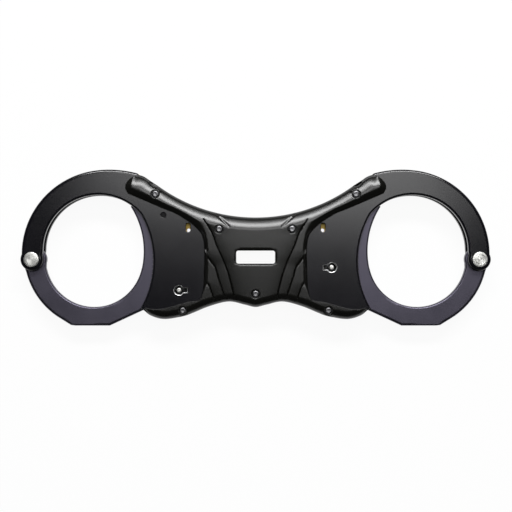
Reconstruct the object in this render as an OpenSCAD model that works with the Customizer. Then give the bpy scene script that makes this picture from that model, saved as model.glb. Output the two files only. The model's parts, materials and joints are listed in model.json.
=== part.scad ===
// Rigid handcuffs: two swing-through cuffs joined by a moulded centre grip.
// The object lies flat: X runs along it, +Y is its upper edge, Z is its thickness.
// The right cuff is the left cuff turned half a turn about Y.

/* [Overall] */
// Distance from the centre line to each cuff's pivot
pivot_x = 122.6; // [118:0.1:148]
// Distance from the pivot down to the flat lower edge of a strand
strand_drop = 36.5; // [33:0.1:44]

/* [Cheek plates] */
// Thickness of one cheek plate
cheek_t = 4; // [3.2:0.1:5]
// Radius of the eye round the pivot
eye_r = 6.2; // [5.6:0.1:7.4]
// Radius of the upper part of the wrist opening
opening_r = 30.4; // [28:0.1:32]
// Outer radius of the upper arc beside the pivot
outer_r = 46.35; // [45.4:0.05:47.6]
// Outer radius of the upper arc beside the grip
crown_r = 58.95; // [58:0.05:60]
// Radius of the plate's hollow edge beside the toothed arc
hollow_r = 51.3; // [50.4:0.1:52]

/* [Single strand] */
// Thickness of the single strand
strand_t = 4.6; // [3.8:0.1:5.6]
// Gap between the strand and each cheek plate
side_gap = 0.15; // [0.1:0.05:0.3]
// Radius of the tooth tips about the pivot
tip_r = 67.8; // [67.2:0.1:68]
// Depth of one ratchet tooth
tooth_h = 1.9; // [1.4:0.1:2.2]
// Angle from one tooth to the next
tooth_step = 2.2; // [1.8:0.1:2.6]

/* [Pivot rivet] */
// Radius of the rivet's shank
rivet_r = 3; // [2.4:0.1:3.6]
// Radius of the rivet's heads
rivet_head_r = 4.1; // [3.8:0.1:4.8]
// Height of each rivet head
rivet_head_h = 0.9; // [0.6:0.1:1.4]
// Running clearance of the strand on the rivet
pivot_clear = 0.05; // [0.03:0.01:0.1]

/* [Lock] */
// Radius of the pawl pin
pawl_pin_r = 1.4; // [1.1:0.1:1.7]
// Radius of a key post
post_r = 1.3; // [1:0.1:1.5]
// Radius of the round part of a keyway
keyway_r = 2.4; // [2:0.1:2.9]
// Width of the keyway's flag
flag_w = 2.2; // [1.8:0.1:2.6]
// Reach of the keyway's flag from the post's axis
flag_reach = 4.4; // [3.8:0.1:5]
// Travel of the double-lock bar
bar_travel = 2.5; // [2:0.1:3]
// Width of the double-lock slot
slot_w = 2.5; // [2.2:0.1:3]
// Length of the double-lock slot
slot_len = 5; // [5:0.1:6]

/* [Centre grip] */
// Wall of polymer outside the plates and the core
rim = 1.5; // [1.2:0.1:2]
// Gap between a cover and what lies in it
pocket_gap = 0.15; // [0.1:0.05:0.2]
// Thickness of a cover over the plates
cover_wall = 2.55; // [2.5:0.05:4]
// Width of the centre window
window_w = 21.5; // [18:0.1:24]
// Height of the centre window
window_h = 7.2; // [6:0.1:8]
// Corner radius of the centre window
window_r = 1.2; // [0.8:0.1:2]

/* [Cover screws] */
// Radius of the screw shank
screw_r = 1.4; // [1.2:0.1:1.5]
// Radius of the screw head
screw_head_r = 2; // [1.8:0.1:2.1]
// Height of the screw head
screw_head_h = 1.6; // [1.2:0.1:1.7]
// Depth of a screw head below the cover's face
screw_sink = 0.3; // [0.1:0.1:0.4]
// Width across flats of the hexagonal socket
socket_af = 2; // [1.5:0.1:2.2]
// Outer radius of a threaded insert
insert_r = 2.2; // [2:0.1:2.5]

/* [Hidden] */
$fn = 96;

// ---- places and clearances shared by the pieces ----
pivot_y = -6.5;
drop = 0.02;                           // overlap of a cutting tool past a face
far = 400;                             // size of a cutting shape that passes everything
fit = 0.15;                            // gap round a sliding or swinging lock part
gap_half = strand_t / 2 + side_gap;    // half the gap between the cheek plates
face_z = gap_half + cheek_t;           // outer face of a cheek plate
grip_half_t = face_z + cover_wall;     // the back cover rests on Z = 0
case_r = tip_r + 0.9;                  // inner wall of the lock case
eye_overlap = 0.65;                    // how far the outer arc runs inside the eye
blend_a = 97.7;                        // where the outer arc runs into the crown, degrees
crown_end = 75;                        // where the crown runs under the grip's arm, degrees

// Places on a cuff, from its pivot
opening_c = [eye_r + opening_r, 4.8];
outer_c = [outer_r - eye_r + eye_overlap, 2.7];
crown_c = outer_c - polar(crown_r - outer_r, blend_a);
hollow_c = [15.2, -1];
pawl_pin_at = polar(tip_r + 8.35, 18.53);
low_post_at = polar(tip_r + 14.65, -11.83);
high_post_at = polar(tip_r + 13.32, -3.11);
slot_at = polar(tip_r + 19.65, 11.48);
arm_screw_at = [67.8, 35.6];
foot_screw_at = [82.8, -28];
arm_root = [68.6, 40.7];               // where the upper arm leaves the grip's upper edge
mid_y = pivot_y + (crown_c[1] + crown_r - strand_drop) / 2;    // middle of the whole height

// The grip's hollow upper edge is one arc through both arm roots and a point between them
grip_top_y = 16.5;
top_x = pivot_x - arm_root[0];
top_rise = arm_root[1] + pivot_y - grip_top_y;
top_r = (top_x * top_x + top_rise * top_rise) / (2 * top_rise);
top_c = [0, grip_top_y + top_r];
plate_end_x = 22.2;                    // inner end of the plates, from the centre line
case_end_x = 29.5;                     // inner end of the lock case
core_end_x = 29.2;                     // outer end of the core's tongues
frame_pin_at = [[-25, 5.5], [-25, -17.5]];
frame_pin_r = 1.5;
centre_screws_at = [[-19.9, 10], [19.9, 10], [0, -25.4]];
window_at = [0, -5.3];
window_gap = 1.5;                      // from the window's edge to the core's

// ---- helpers ----
function polar(r, a) = [r * cos(a), r * sin(a)];
function arc(c, r, a0, a1, n = 24) = [for (i = [0 : n]) c + polar(r, a0 + (a1 - a0) * i / n)];
function moved(pts, by) = [for (p = pts) p + by];
function backwards(pts) = [for (i = [len(pts) - 1 : -1 : 0]) pts[i]];
function angle(v) = atan2(v[1], v[0]);

// Upper point where two circles cross
function meet(c0, r0, c1, r1) =
    let (d = norm(c1 - c0), a = (r0 * r0 - r1 * r1 + d * d) / (2 * d), u = (c1 - c0) / d)
    c0 + a * u + sqrt(r0 * r0 - a * a) * [-u[1], u[0]];

// Point on the smooth curve through b and c, with a and d as neighbours
function between(a, b, c, d, t) =
    0.5 * (2 * b + (c - a) * t + (2 * a - 5 * b + 4 * c - d) * t * t
           + (3 * b - a - 3 * c + d) * t * t * t);

// Smooth curve through a list of points
function smooth(p, n = 6) = concat(
    [for (i = [0 : len(p) - 2], j = [0 : n - 1])
        between(p[max(i - 1, 0)], p[i], p[i + 1], p[min(i + 2, len(p) - 1)], j / n)],
    [p[len(p) - 1]]);

// Closed outline moved inwards by d, for points that run anticlockwise
function inset(p, d) = [for (i = [0 : len(p) - 1])
    let (a = p[(i + len(p) - 1) % len(p)], b = p[(i + 1) % len(p)], t = b - a)
    p[i] + d * [-t[1], t[0]] / norm(t)];

function pivot() = [-pivot_x, pivot_y];

module at_pivot() { translate(pivot()) children(); }
module slab(z0, z1) { translate([0, 0, z0]) linear_extrude(z1 - z0) children(); }
module rod(at, r, z0, z1) { translate([at[0], at[1], z0]) cylinder(r = r, h = z1 - z0); }

// ---- outlines ----
// Left half of the grip: bottom edge, lower arm, edge beside the plate, upper arm, top edge
function bottom_edge() = smooth(concat(
    [[0, -32.7], [-6, -31.4], [-14.9, -29.7], [-25.8, -32.4]],
    moved([[84.9, -30.6], [73, -32.8], [65.1, -30.9], [61, -27.6]], pivot())));
function plate_edge() = smooth(concat(
    moved([[62.2, -26.4], [66.6, -27.2], [72.6, -26.7], [84.6, -23.4]], pivot()),
    [[-29.8, -27.1], [-28.2, -10.4], [-28.6, 4.2], [-33.2, 11.3]],
    moved([[79.7, 24.5], [71.6, 27.9], [52.7, 36]], pivot())));
function arm_tip() = smooth(moved([[51.3, 38.2], [51.6, 41.2], [54.2, 44.3], [57.8, 46.1],
                                   [61.4, 45.3], [65, 42.9]], pivot()), 4);
function top_edge() = arc(top_c, top_r, 270 - asin(top_x / top_r), 270, 20);
function half_grip() = concat(bottom_edge(), plate_edge(), arm_tip(), top_edge());
function grip_outline() = let (h = half_grip(), n = len(h))
    concat([for (i = [n - 1 : -1 : 0]) h[i]], [for (i = [1 : n - 2]) [-h[i][0], h[i][1]]]);

// Cheek plate, from its pivot: upper arc, crown, top edge, inner end, foot, hollow, opening
// and the eye. It is drawn larger all round by grow where a cover makes room for it.
function plate_top(grow) = let (r = top_r + rim - grow, end = plate_end_x - grow)
    moved(arc(top_c, r, 270 - asin((top_x + 2.5) / r), 270 - asin(end / r), 12), -pivot());
function plate_foot(grow) = moved(smooth(concat(
    moved([[grow - plate_end_x, -26.3], [-29.8, -28.8]], -pivot()),
    [[84.6, -25.2], [72.6, -28.3], [66.6, -28.8], [61.2, -27.4]])), [0, -grow]);
module cheek_outline(grow = 0) {
    corner = meet(hollow_c, hollow_r - grow, opening_c, opening_r - grow);
    union() {
        circle(eye_r + grow);
        polygon(backwards(concat(
            arc(outer_c, outer_r + grow, 183, blend_a + 1),
            arc(crown_c, crown_r + grow, blend_a, crown_end, 12),
            plate_top(grow), plate_foot(grow),
            arc(hollow_c, hollow_r - grow, -30.5, angle(corner - hollow_c) - 1),
            arc(opening_c, opening_r - grow, angle(corner - opening_c), 181),
            [[4.5, -1.5], [-4.5, -1.5]])));
    }
}

// ---- cheek plates ----
module keyway(at) {
    translate(at) {
        circle(keyway_r);
        translate([0, -flag_w / 2]) square([flag_reach, flag_w]);
    }
}
module bar_slot() {
    for (s = [-1, 1]) translate(slot_at + [0, s * (slot_len - slot_w) / 2]) circle(d = slot_w);
    translate(slot_at - [slot_w / 2, (slot_len - slot_w) / 2])
        square([slot_w, slot_len - slot_w]);
}
module cheek(z0, key_at, seat_at, pin_open) {
    blind = z0 > 0 ? gap_half - drop : -gap_half - cheek_t / 2;
    color("#26262c") difference() {
        at_pivot() slab(z0, z0 + cheek_t) difference() {
            cheek_outline();
            circle(rivet_r);
            translate(arm_screw_at) circle(screw_r + fit);
            bar_slot();
            keyway(key_at);
        }
        at_pivot() {
            rod(seat_at, post_r, blind, blind + cheek_t / 2 + drop);
            pin_z0 = pin_open ? z0 - drop : -gap_half - cheek_t / 2;
            rod(pawl_pin_at, pawl_pin_r, pin_z0, z0 + cheek_t + drop);
        }
        for (p = frame_pin_at) rod(p, frame_pin_r, z0 - drop, z0 + cheek_t + drop);
    }
}
module front_cheek() { cheek(gap_half, low_post_at, high_post_at, true); }
module back_cheek() { cheek(-face_z, high_post_at, low_post_at, false); }

// ---- single strand ----
root_r = tip_r - tooth_h;
first_tooth = -22;                     // start of the toothed row, in degrees round the pivot
row_end = 27.2;                        // end of the strand's toothed side, in degrees
teeth = floor((row_end - first_tooth) / tooth_step);
belly_c = [36.85, 3.2];                // outer edge beside the pivot
belly_r = 41.9;
bow_c = [33.5, 0.6];                   // inner edge of the bow
bow_r = 26.9;
bar_c = [15.2, 4.5];                   // inner edge beside the teeth
bar_r = 45.7;
neck = [1.7, 0];                       // the eye is drawn twice, this far apart
neck_r = eye_r + 0.2;

function tooth_row() = [for (i = [0 : teeth - 1], k = [0, 1])
    let (a = first_tooth + i * tooth_step) k == 0 ? polar(tip_r, a) : polar(root_r, a + tooth_step)];
function strand_outline() = concat(
    arc(belly_c, belly_r, 191.5, 236, 16),
    [[20.9, 0.3 - strand_drop], [23.2, -strand_drop], [42.3, -strand_drop]],
    [polar(tip_r - 0.6, first_tooth - 2.4), polar(root_r, first_tooth)],
    tooth_row(),
    [polar(root_r, row_end), polar(root_r - 1.3, row_end + 1.2), polar(root_r - 2.9, row_end + 1.3)],
    arc(bar_c, bar_r, 32.5, -12, 20),
    arc(bow_c, bow_r, -12, -169, 30));
module strand() {
    color("#33333b") at_pivot() slab(-strand_t / 2, strand_t / 2) difference() {
        union() {
            circle(eye_r);
            translate(neck) circle(neck_r);
            polygon(strand_outline());
        }
        circle(rivet_r + pivot_clear);
    }
}

// ---- pivot rivet: a flat head in front, a head with a turned ring behind ----
module pivot_rivet() {
    ring_r = rivet_head_r * 0.58;
    ring_w = 0.35;
    ring_h = 0.3;
    top = face_z + rivet_head_h;
    bevel = rivet_head_h * 0.4;
    color("#c9c9cc") at_pivot() rotate_extrude() polygon([
        [0, top], [0, -top],
        [ring_r, -top], [ring_r, ring_h - top], [ring_r + ring_w, ring_h - top], [ring_r + ring_w, -top],
        [rivet_head_r - bevel, -top], [rivet_head_r, bevel - top], [rivet_head_r, -face_z],
        [rivet_r, -face_z], [rivet_r, face_z],
        [rivet_head_r, face_z], [rivet_head_r, top - bevel], [rivet_head_r - bevel, top]]);
}

// ---- lock ----
pocket_r = tip_r + 11.7;               // outer wall of the pawl pocket
key_room_r = flag_reach + 0.9;         // room for the key's bit round a post
bar_w = 5.2;
bar_low = slot_at[1] - 15;             // ends of the double-lock bar
bar_high = slot_at[1] + 3.6;
nose_x = slot_at[0] - 10.8;            // the bar's nose reaches behind the pawls
nose_h = 4;
hole_r = 1.05;                         // small hole in the bar, seen at the slot's foot
bow_at = polar(pocket_r + 0.1, 12.2);  // middle of a pawl spring's bow
spring_bow_r = 4.6;
leaf_t = 0.35;
detent_r = 2.75;
detent_at = slot_at + [5.6, -8.4];
detent_half = 3.4;
bar_right = slot_at[0] + bar_w / 2;

module pawl_pocket() {
    difference() {
        circle(pocket_r);
        circle(case_r - 1);
        polygon([[0, 0], polar(far, 24.5), [0, far], [-far, 0], [0, -far], polar(far, -18)]);
    }
}
module lock_case() {
    color("#c79a1e") difference() {
        slab(-gap_half, gap_half) difference() {
            at_pivot() difference() {
                cheek_outline();
                circle(case_r);
                translate([-far, -far]) square([far + 40, 2 * far]);
                pawl_pocket();
                for (p = [low_post_at, high_post_at]) translate(p) circle(key_room_r);
                translate([slot_at[0] - bar_w / 2 - fit, bar_low - fit])
                    square([bar_w + 2 * fit, bar_high - bar_low + bar_travel + 2 * fit]);
                translate([nose_x, bar_low - fit])
                    square([slot_at[0] - nose_x, nose_h + bar_travel + 2 * fit]);
                translate([bar_right, detent_at[1] - detent_half])
                    square([detent_at[0] - bar_right, 2 * detent_half]);
                translate(arm_screw_at) circle(screw_r + fit);
            }
            translate([-case_end_x, -far]) square([far, 2 * far]);
        }
    }
}

// A pawl hooks over the pawl pin and hangs beside the toothed arc. Drawn in mesh,
// then lifted clear of the teeth by pawl_lift.
pawl_layers = 3;
pawl_gap = 0.05;
pawl_t = (2 * gap_half - (pawl_layers + 1) * pawl_gap) / pawl_layers;
pawl_teeth = 5;
pawl_first = first_tooth + 5 * tooth_step;    // tooth space that the lowest pawl tooth rests in
pawl_in_r = tip_r + 0.35;
pawl_out_r = pawl_in_r + 4.2;
pawl_boss_r = pawl_pin_r + 1.2;
mesh_gap = 0.14;
pawl_lever = 27.45;                    // from the pawl pin to the nearest pawl tooth
pawl_lift = asin((tooth_h + 0.11) / pawl_lever);    // angle that lifts a pawl clear of the teeth

function pawl_z(i) = gap_half - pawl_gap - pawl_t - i * (pawl_t + pawl_gap);
function mesh_angle(i) = pawl_first + i * tooth_step - mesh_gap * 180 / (PI * tip_r);
// Toothed inner edge, back, boss round the pin and the lug that the key's bit pushes
function pawl_edge() = concat(
    [polar(pawl_in_r, -14)],
    [for (i = [0 : pawl_teeth - 1], k = [0 : 2]) let (a = mesh_angle(i))
        [polar(pawl_in_r, a - tooth_step * 0.9), polar(root_r + mesh_gap * 1.8, a),
         polar(pawl_in_r, a)][k]],
    arc([0, 0], pawl_in_r, 0, 13, 8));
function pawl_back_edge() = concat(
    arc([0, 0], pawl_out_r, 11, -8.5, 10),
    [polar(pawl_out_r + 2.4, -11.6), polar(pawl_out_r + 2.4, -13.2), polar(pawl_out_r, -14)]);
module pawl_outline() {
    union() {
        polygon(backwards(concat(pawl_edge(), [pawl_pin_at + polar(pawl_boss_r - 0.5, 160),
                pawl_pin_at + polar(pawl_boss_r - 0.5, -25)], pawl_back_edge())));
        translate(pawl_pin_at) circle(pawl_boss_r);
    }
}
module pawl(layer) {
    color("#8f9196") at_pivot() translate(pawl_pin_at) rotate(pawl_lift) translate(-pawl_pin_at)
        slab(pawl_z(layer), pawl_z(layer) + pawl_t) difference() {
            pawl_outline();
            translate(pawl_pin_at) circle(pawl_pin_r + pivot_clear);
        }
}
module pawl_pin() {
    color("#3a3a40") at_pivot() rod(pawl_pin_at, pawl_pin_r, -gap_half - cheek_t / 2, face_z - 0.3);
}
module pawl_springs() {
    for (i = [0 : pawl_layers - 1])
        color("#b9bcc2") at_pivot() slab(pawl_z(i) + 0.1, pawl_z(i) + pawl_t - 0.1) intersection() {
            translate(bow_at) difference() {
                circle(spring_bow_r);
                circle(spring_bow_r - leaf_t);
            }
            circle(pocket_r - drop / 2);
        }
}
module double_lock_bar() {
    color("#d8a820") at_pivot() slab(-gap_half + pawl_gap, gap_half - pawl_gap) difference() {
        union() {
            translate([slot_at[0] - bar_w / 2, bar_low]) square([bar_w, bar_high - bar_low]);
            translate([nose_x, bar_low]) square([slot_at[0] - nose_x, nose_h]);
        }
        translate(slot_at - [0, slot_len / 2 - hole_r]) circle(hole_r);
    }
}
module double_lock_spring() {
    color("#b9bcc2") at_pivot() slab(-gap_half + 0.6, gap_half - 0.6) intersection() {
        translate(detent_at) difference() {
            circle(detent_r);
            circle(detent_r - leaf_t);
        }
        translate([bar_right, detent_at[1] - detent_half])
            square([detent_at[0] - bar_right, 2 * detent_half]);
    }
}
module front_key_post() {
    color("#c9c9cc") at_pivot() rod(low_post_at, post_r, -gap_half - cheek_t / 2, face_z - 0.4);
}
module back_key_post() {
    color("#c9c9cc") at_pivot() rod(high_post_at, post_r, -face_z + 0.4, gap_half + cheek_t / 2);
}
module frame_pins() {
    for (p = frame_pin_at) color("#8f9196") rod(p, frame_pin_r, -face_z, face_z);
}

// ---- centre grip ----
screw_seat_z = grip_half_t - screw_sink - screw_head_h;
function screw_places() = concat(
    [for (p = [arm_screw_at, foot_screw_at], s = [-1, 1]) [s * (p[0] - pivot_x), p[1] + pivot_y]],
    centre_screws_at);
module window() {
    translate(window_at) for (s = [[1, 1], [-1, 1], [1, -1], [-1, -1]])
        translate([s[0] * (window_w / 2 - window_r), s[1] * (window_h / 2 - window_r)])
            circle(window_r);
    translate(window_at - [window_w / 2 - window_r, window_h / 2])
        square([window_w - 2 * window_r, window_h]);
    translate(window_at - [window_w / 2, window_h / 2 - window_r])
        square([window_w, window_h - 2 * window_r]);
}
// Room for the plates, the core and the swinging strands in one cover
module cover_room() {
    for (s = [0, 1]) mirror([s, 0]) at_pivot() {
        slab(-drop, face_z + pocket_gap) cheek_outline(pocket_gap);
        slab(-drop, gap_half + pocket_gap) circle(case_r);
    }
    slab(-drop, gap_half + pocket_gap) intersection() {
        polygon(inset(grip_outline(), rim - pocket_gap));
        square([2 * core_end_x + 2 * pocket_gap, far], center = true);
    }
}
module cover_body() {
    difference() {
        slab(0, grip_half_t) difference() {
            polygon(grip_outline());
            window();
        }
        cover_room();
    }
}
module front_cover() {
    color("#2b2b29") difference() {
        cover_body();
        for (p = screw_places()) {
            rod(p, screw_r + fit, -drop, grip_half_t);
            rod(p, screw_head_r + 0.3, screw_seat_z, grip_half_t + drop);
        }
    }
}
insert_web = 0.3;                      // polymer left over and under an insert
insert_z0 = insert_web - grip_half_t;
insert_len = cover_wall - pocket_gap - 2 * insert_web;
module back_cover() {
    color("#2b2b29") difference() {
        mirror([0, 0, 1]) cover_body();
        for (p = screw_places()) {
            rod(p, screw_r + fit, insert_z0, drop);
            rod(p, insert_r, insert_z0, insert_z0 + insert_len);
        }
    }
}
module core_frame() {
    color("#74767a") difference() {
        intersection() {
            slab(-gap_half, gap_half) polygon(inset(grip_outline(), rim));
            slab(-gap_half, gap_half) square([2 * core_end_x, far], center = true);
        }
        slab(-gap_half - drop, gap_half + drop) translate(window_at)
            square([window_w, window_h] + 2 * window_gap * [1, 1], center = true);
        for (p = screw_places()) rod(p, screw_r + fit, -gap_half - drop, gap_half + drop);
        for (s = [-1, 1], p = frame_pin_at)
            rod([s * p[0], p[1]], frame_pin_r, -gap_half - drop, gap_half + drop);
    }
}
module cover_screws() {
    for (p = screw_places()) color("#1d1d1f") difference() {
        union() {
            rod(p, screw_r, insert_z0 + 0.3, screw_seat_z + drop);
            rod(p, screw_head_r, screw_seat_z, screw_seat_z + screw_head_h);
        }
        translate([p[0], p[1], screw_seat_z + screw_head_h - 1.2])
            cylinder(d = socket_af / cos(30), h = 1.3, $fn = 6);
    }
}
module threaded_inserts() {
    for (p = screw_places()) color("#b08d3e") difference() {
        rod(p, insert_r, insert_z0, insert_z0 + insert_len);
        rod(p, screw_r, insert_z0 - drop, insert_z0 + insert_len + drop);
    }
}

// One part of a cuff by its name; the front pieces of the turned cuff are its back ones
module cuff_part(part) {
    if (part == "front_cheek") front_cheek();
    if (part == "back_cheek") back_cheek();
    if (part == "strand") strand();
    if (part == "pivot_rivet") pivot_rivet();
    if (part == "lock_case") lock_case();
    if (part == "pawl_pin") pawl_pin();
    if (part == "pawl_front") pawl(0);
    if (part == "pawl_middle") pawl(1);
    if (part == "pawl_back") pawl(2);
    if (part == "pawl_springs") pawl_springs();
    if (part == "double_lock_bar") double_lock_bar();
    if (part == "double_lock_spring") double_lock_spring();
    if (part == "front_key_post") front_key_post();
    if (part == "back_key_post") back_key_post();
    if (part == "frame_pins") frame_pins();
}
module centred() { translate([0, -mid_y, grip_half_t]) children(); }
module left(part) { centred() cuff_part(part); }
module right(part) { centred() rotate([0, 180, 0]) cuff_part(part); }

centred() front_cover();
centred() back_cover();
centred() core_frame();
centred() cover_screws();
centred() threaded_inserts();
left("front_cheek");  // left_front_cheek
left("back_cheek");  // left_back_cheek
left("strand");  // left_strand
left("pivot_rivet");  // left_pivot_rivet
left("lock_case");  // left_lock_case
left("pawl_pin");  // left_pawl_pin
left("pawl_front");  // left_pawl_front
left("pawl_middle");  // left_pawl_middle
left("pawl_back");  // left_pawl_back
left("pawl_springs");  // left_pawl_springs
left("double_lock_bar");  // left_double_lock_bar
left("double_lock_spring");  // left_double_lock_spring
left("front_key_post");  // left_front_key_post
left("back_key_post");  // left_back_key_post
left("frame_pins");  // left_frame_pins
right("back_cheek");  // right_front_cheek
right("front_cheek");  // right_back_cheek
right("strand");  // right_strand
right("pivot_rivet");  // right_pivot_rivet
right("lock_case");  // right_lock_case
right("pawl_pin");  // right_pawl_pin
right("pawl_back");  // right_pawl_front
right("pawl_middle");  // right_pawl_middle
right("pawl_front");  // right_pawl_back
right("pawl_springs");  // right_pawl_springs
right("double_lock_bar");  // right_double_lock_bar
right("double_lock_spring");  // right_double_lock_spring
right("back_key_post");  // right_front_key_post
right("front_key_post");  // right_back_key_post
right("frame_pins");  // right_frame_pins
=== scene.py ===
import json
import math

import bpy
import numpy as np
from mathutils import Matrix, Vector
from mathutils.geometry import delaunay_2d_cdt

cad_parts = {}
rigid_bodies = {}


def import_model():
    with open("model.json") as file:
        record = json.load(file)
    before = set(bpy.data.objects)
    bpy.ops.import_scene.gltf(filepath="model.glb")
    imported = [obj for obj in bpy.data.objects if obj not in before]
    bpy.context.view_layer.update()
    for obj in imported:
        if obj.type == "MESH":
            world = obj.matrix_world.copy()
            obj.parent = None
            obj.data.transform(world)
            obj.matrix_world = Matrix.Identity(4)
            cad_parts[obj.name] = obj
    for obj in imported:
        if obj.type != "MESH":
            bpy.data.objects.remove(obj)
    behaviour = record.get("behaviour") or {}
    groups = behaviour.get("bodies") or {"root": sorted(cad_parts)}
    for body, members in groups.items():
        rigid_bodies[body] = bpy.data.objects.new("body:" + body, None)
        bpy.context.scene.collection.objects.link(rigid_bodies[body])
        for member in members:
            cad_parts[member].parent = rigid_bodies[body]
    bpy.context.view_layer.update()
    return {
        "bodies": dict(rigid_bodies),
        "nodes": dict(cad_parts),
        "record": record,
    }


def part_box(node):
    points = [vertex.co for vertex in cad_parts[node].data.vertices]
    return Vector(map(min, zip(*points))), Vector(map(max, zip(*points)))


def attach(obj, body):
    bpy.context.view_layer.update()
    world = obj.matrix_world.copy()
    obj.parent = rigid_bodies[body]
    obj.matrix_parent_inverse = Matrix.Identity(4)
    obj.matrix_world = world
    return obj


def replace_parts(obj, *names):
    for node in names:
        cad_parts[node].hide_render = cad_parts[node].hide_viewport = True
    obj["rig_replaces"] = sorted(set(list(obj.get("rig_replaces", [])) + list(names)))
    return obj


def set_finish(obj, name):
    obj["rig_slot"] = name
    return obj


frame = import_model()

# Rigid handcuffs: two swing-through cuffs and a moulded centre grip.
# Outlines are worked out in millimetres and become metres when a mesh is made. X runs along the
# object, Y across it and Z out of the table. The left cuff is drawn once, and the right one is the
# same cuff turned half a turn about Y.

MM = 0.001


def box_mm(node):
    """Lowest and highest corner of a CAD node, in millimetres."""
    return tuple(np.array(corner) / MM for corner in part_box(node))


# ---- places taken from the frame ----
RIVET = box_mm("left_pivot_rivet")
PIVOT = (RIVET[0][:2] + RIVET[1][:2]) / 2
GRIP_TOP = box_mm("front_cover")[1][2]
MID_Z = GRIP_TOP / 2
HALF_T = GRIP_TOP - MID_Z
CHEEK_LOW, CHEEK_HIGH = (corner[2] for corner in box_mm("left_front_cheek"))
CHEEK_T = CHEEK_HIGH - CHEEK_LOW
FACE_Z = CHEEK_HIGH - MID_Z              # outer face of a cheek above the middle
GAP_HALF = CHEEK_LOW - MID_Z             # inner face of a cheek above the middle
STRAND_LOW, STRAND_HIGH = (corner[2] for corner in box_mm("left_strand"))
HEAD_H = RIVET[1][2] - CHEEK_HIGH
SCREW_LOW, SCREW_HIGH = (corner[2] for corner in box_mm("cover_screws"))
PIVOT_DROP = 6.5                         # the pivots lie this far below the grip's own origin
GRIP = np.array([0, PIVOT[1] + PIVOT_DROP])
HOME = np.array([PIVOT[0], -PIVOT_DROP])  # the left pivot in the grip's own frame

# ---- driving sizes of the outlines, in millimetres and degrees ----
EYE_R = 6.2                              # outside of the eye about the pivot
OPENING_R = 30.4                         # the opening for the wrist, beside the pivot
OUTER_R = 46.35                          # outer side beside the pivot
CROWN_R = 58.95                          # outer side above the opening
HOLLOW_R = 51.3                          # the opening's side by the grip
BLEND_A = 97.7                           # where the outer arc runs into the crown
CROWN_END = 75                           # where the crown goes under the grip
HOLLOW_END = -30.5                       # where the hollow runs into the foot
PLATE_END = 22.2                         # inner end of the plates, from the grip's centre line
PLATE_TOP_END = 56.5                     # outer end of the plates' edge under the grip
TOP_RISE = 1.5                           # polymer outside the plates
OUTLINE_STEP = 1.2                       # longest edge in a plate's outline
EDGE_STEPS = 5                           # steps round a plate's rounded edge
CORNER_STEPS = 4                         # steps round a turned corner
TIP_R = 67.8                             # tips of the strand's teeth, from the pivot
TOOTH_H = 1.9
TOOTH_STEP = 2.2
FIRST_TOOTH = -22
ROW_END = 27.2                           # the row of teeth ends here
STRAND_DROP = 36.5                       # the strand's flat foot lies this far below the pivot
RIVET_R = 3
RIVET_HEAD_R = 4.1
POST_R = 1.3
KEYWAY_R = 2.4
FLAG_W = 2.2                             # the keyway's notch for the key's bit
FLAG_REACH = 4.4
SLOT_W = 2.5                             # double-lock slot
SLOT_LEN = 5
PIN_R = 1.4
SCREW_R = 1.4
SCREW_HEAD_R = 2
SCREW_HEAD_H = 1.6
SLOPE_SCREW_DROP = 0.6                   # the four screws on the sloped arms and feet have lower heads
SLOPE_SCREW_X = 30                       # those screws lie further than this from the centre line
SOCKET_AF = 2                            # across the flats
SOCKET_DEPTH = 1.2
RECESS_R = 2.3                           # counterbore round a screw head
RECESS_N = 48                            # points round a recess
SCREW_SEAT = SCREW_HIGH - MID_Z - SCREW_HEAD_H
WINDOW = np.array([21.5, 7.2])
WINDOW_R = 1.2
WINDOW_AT = np.array([0, -5.3])

OPENING_C = np.array([EYE_R + OPENING_R, 4.8])
OUTER_C = np.array([OUTER_R - EYE_R + 0.65, 2.7])
HOLLOW_C = np.array([15.2, -1])
BELLY_C, BELLY_R = np.array([36.85, 3.2]), 41.9  # outer side of the strand's bow, below the eye
BAR_C, BAR_R = np.array([15.2, 4.5]), 45.7       # inner side of the toothed bar
BOW_C, BOW_R = np.array([33.5, 0.6]), 26.9       # inner side of the bow


# ---- plane geometry ----
def polar(r, a):
    """Points at distance r and angle a in degrees from the origin."""
    a = np.radians(a)
    return np.stack([r * np.cos(a), r * np.sin(a)], -1)


def arc(c, r, a0, a1, n=32):
    """n + 1 points on a circle about c, evenly spaced from angle a0 to a1."""
    return np.asarray(c) + polar(r, np.linspace(a0, a1, n + 1))


def angle(v):
    """Angle of a vector, in degrees."""
    return math.degrees(math.atan2(v[1], v[0]))


def meet(c0, r0, c1, r1, side=1):
    """Point where two circles cross: a along the line of centres, then the half chord to one side."""
    d = np.linalg.norm(c1 - c0)
    a = (r0 * r0 - r1 * r1 + d * d) / (2 * d)
    u = (c1 - c0) / d
    return c0 + a * u + side * math.sqrt(r0 * r0 - a * a) * np.array([-u[1], u[0]])


def smooth(points, n=6):
    """Catmull-Rom curve through the points: n steps to each span, with its ends held."""
    p = np.asarray(points, float)
    i = np.arange(len(p) - 1)
    a, b, c, d = p[np.maximum(i - 1, 0)], p[i], p[i + 1], p[np.minimum(i + 2, len(p) - 1)]
    t = (np.arange(n) / n)[:, None, None]
    curve = 0.5 * (2 * b + (c - a) * t + (2 * a - 5 * b + 4 * c - d) * t ** 2
                   + (3 * b - a - 3 * c + d) * t ** 3)
    return np.vstack([curve.transpose(1, 0, 2).reshape(-1, 2), p[-1:]])


def outward(points):
    """Unit normals of a closed outline, to the right of its direction of travel."""
    t = np.roll(points, -1, 0) - np.roll(points, 1, 0)
    n = np.stack([t[:, 1], -t[:, 0]], -1)
    return n / np.linalg.norm(n, axis=1, keepdims=True)


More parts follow.
